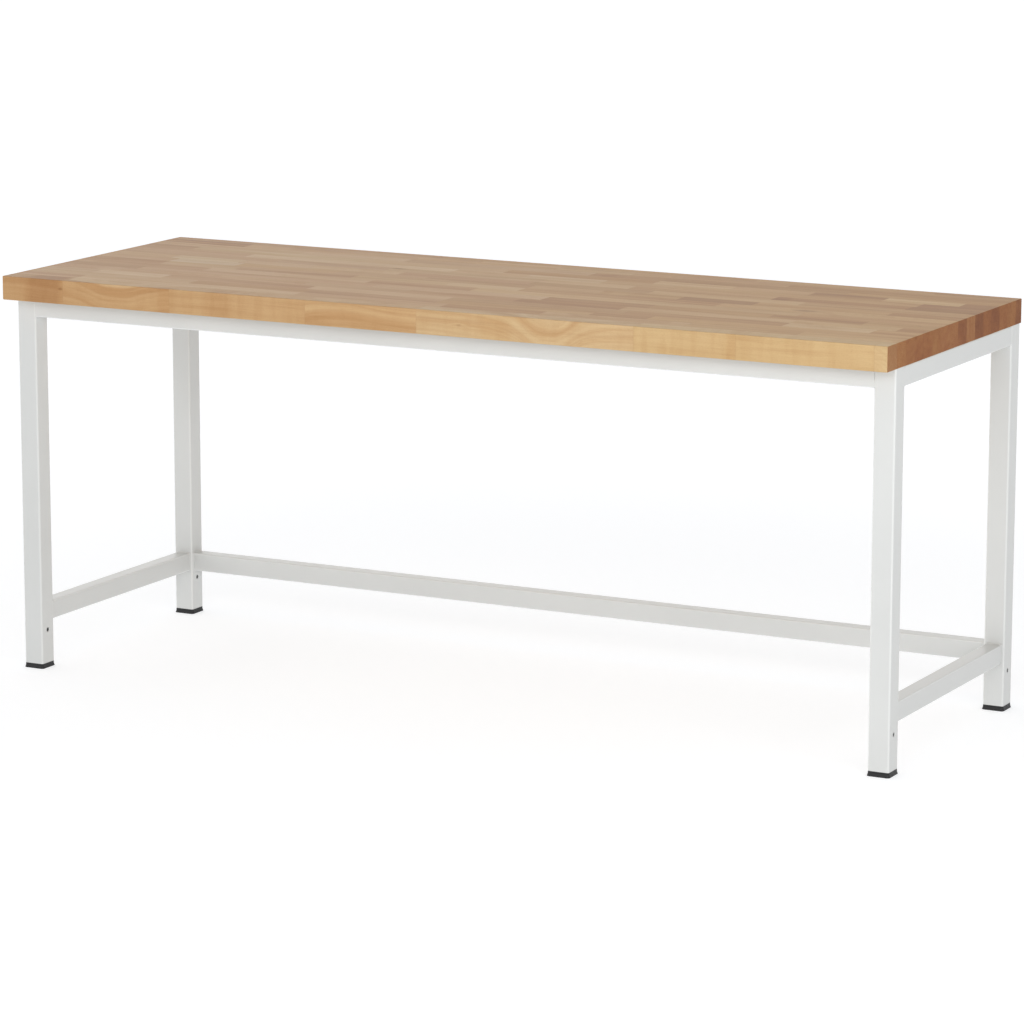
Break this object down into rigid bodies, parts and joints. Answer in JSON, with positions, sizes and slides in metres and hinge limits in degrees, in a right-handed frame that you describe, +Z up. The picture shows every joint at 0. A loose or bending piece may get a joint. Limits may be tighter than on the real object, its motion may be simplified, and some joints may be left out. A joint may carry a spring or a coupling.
{
  "type": "workbench",
  "caption": "Long free-standing workbench: thick laminated beech worktop on a welded square-tube frame, open at the front for the feet, with low rails at the sides and rear and plastic feet.",
  "frame": {"origin": "on the floor under the middle of the worktop", "axes": "+X along the length of the bench to the user's right, +Y from the user towards the rear, +Z up"},
  "size_m": [2, 0.7018, 0.85],
  "materials": {
    "worktop": "oiled laminated beech, satin",
    "frame": "light grey powder coat, semi-gloss",
    "screws": "bright zinc plate",
    "feet": "black moulded polyethylene"
  },
  "bodies": {
    "root": {"worktop": "worktop", "leg_front_left": "frame", "leg_front_right": "frame", "leg_rear_left": "frame", "leg_rear_right": "frame", "upper_rail_front": "frame", "upper_rail_rear": "frame", "upper_rail_left": "frame", "upper_rail_right": "frame", "lower_rail_left": "frame", "lower_rail_right": "frame", "lower_rail_rear": "frame", "weld_upper_front_left_end": "frame", "weld_upper_front_right_end": "frame", "weld_upper_rear_left_end": "frame", "weld_upper_rear_right_end": "frame", "weld_upper_left_front_end": "frame", "weld_upper_left_rear_end": "frame", "weld_upper_right_front_end": "frame", "weld_upper_right_rear_end": "frame", "weld_lower_rear_left_end": "frame", "weld_lower_rear_right_end": "frame", "weld_lower_left_front_end": "frame", "weld_lower_left_rear_end": "frame", "weld_lower_right_front_end": "frame", "weld_lower_right_rear_end": "frame", "fixing_lug_front_left": "frame", "fixing_lug_front_middle": "frame", "fixing_lug_front_right": "frame", "fixing_lug_rear_left": "frame", "fixing_lug_rear_middle": "frame", "fixing_lug_rear_right": "frame", "fixing_screw_front_left": "screws", "fixing_screw_front_middle": "screws", "fixing_screw_front_right": "screws", "fixing_screw_rear_left": "screws", "fixing_screw_rear_middle": "screws", "fixing_screw_rear_right": "screws", "foot_front_left": "feet", "foot_front_right": "feet", "foot_rear_left": "feet", "foot_rear_right": "feet"}
  },
  "joints": []
}
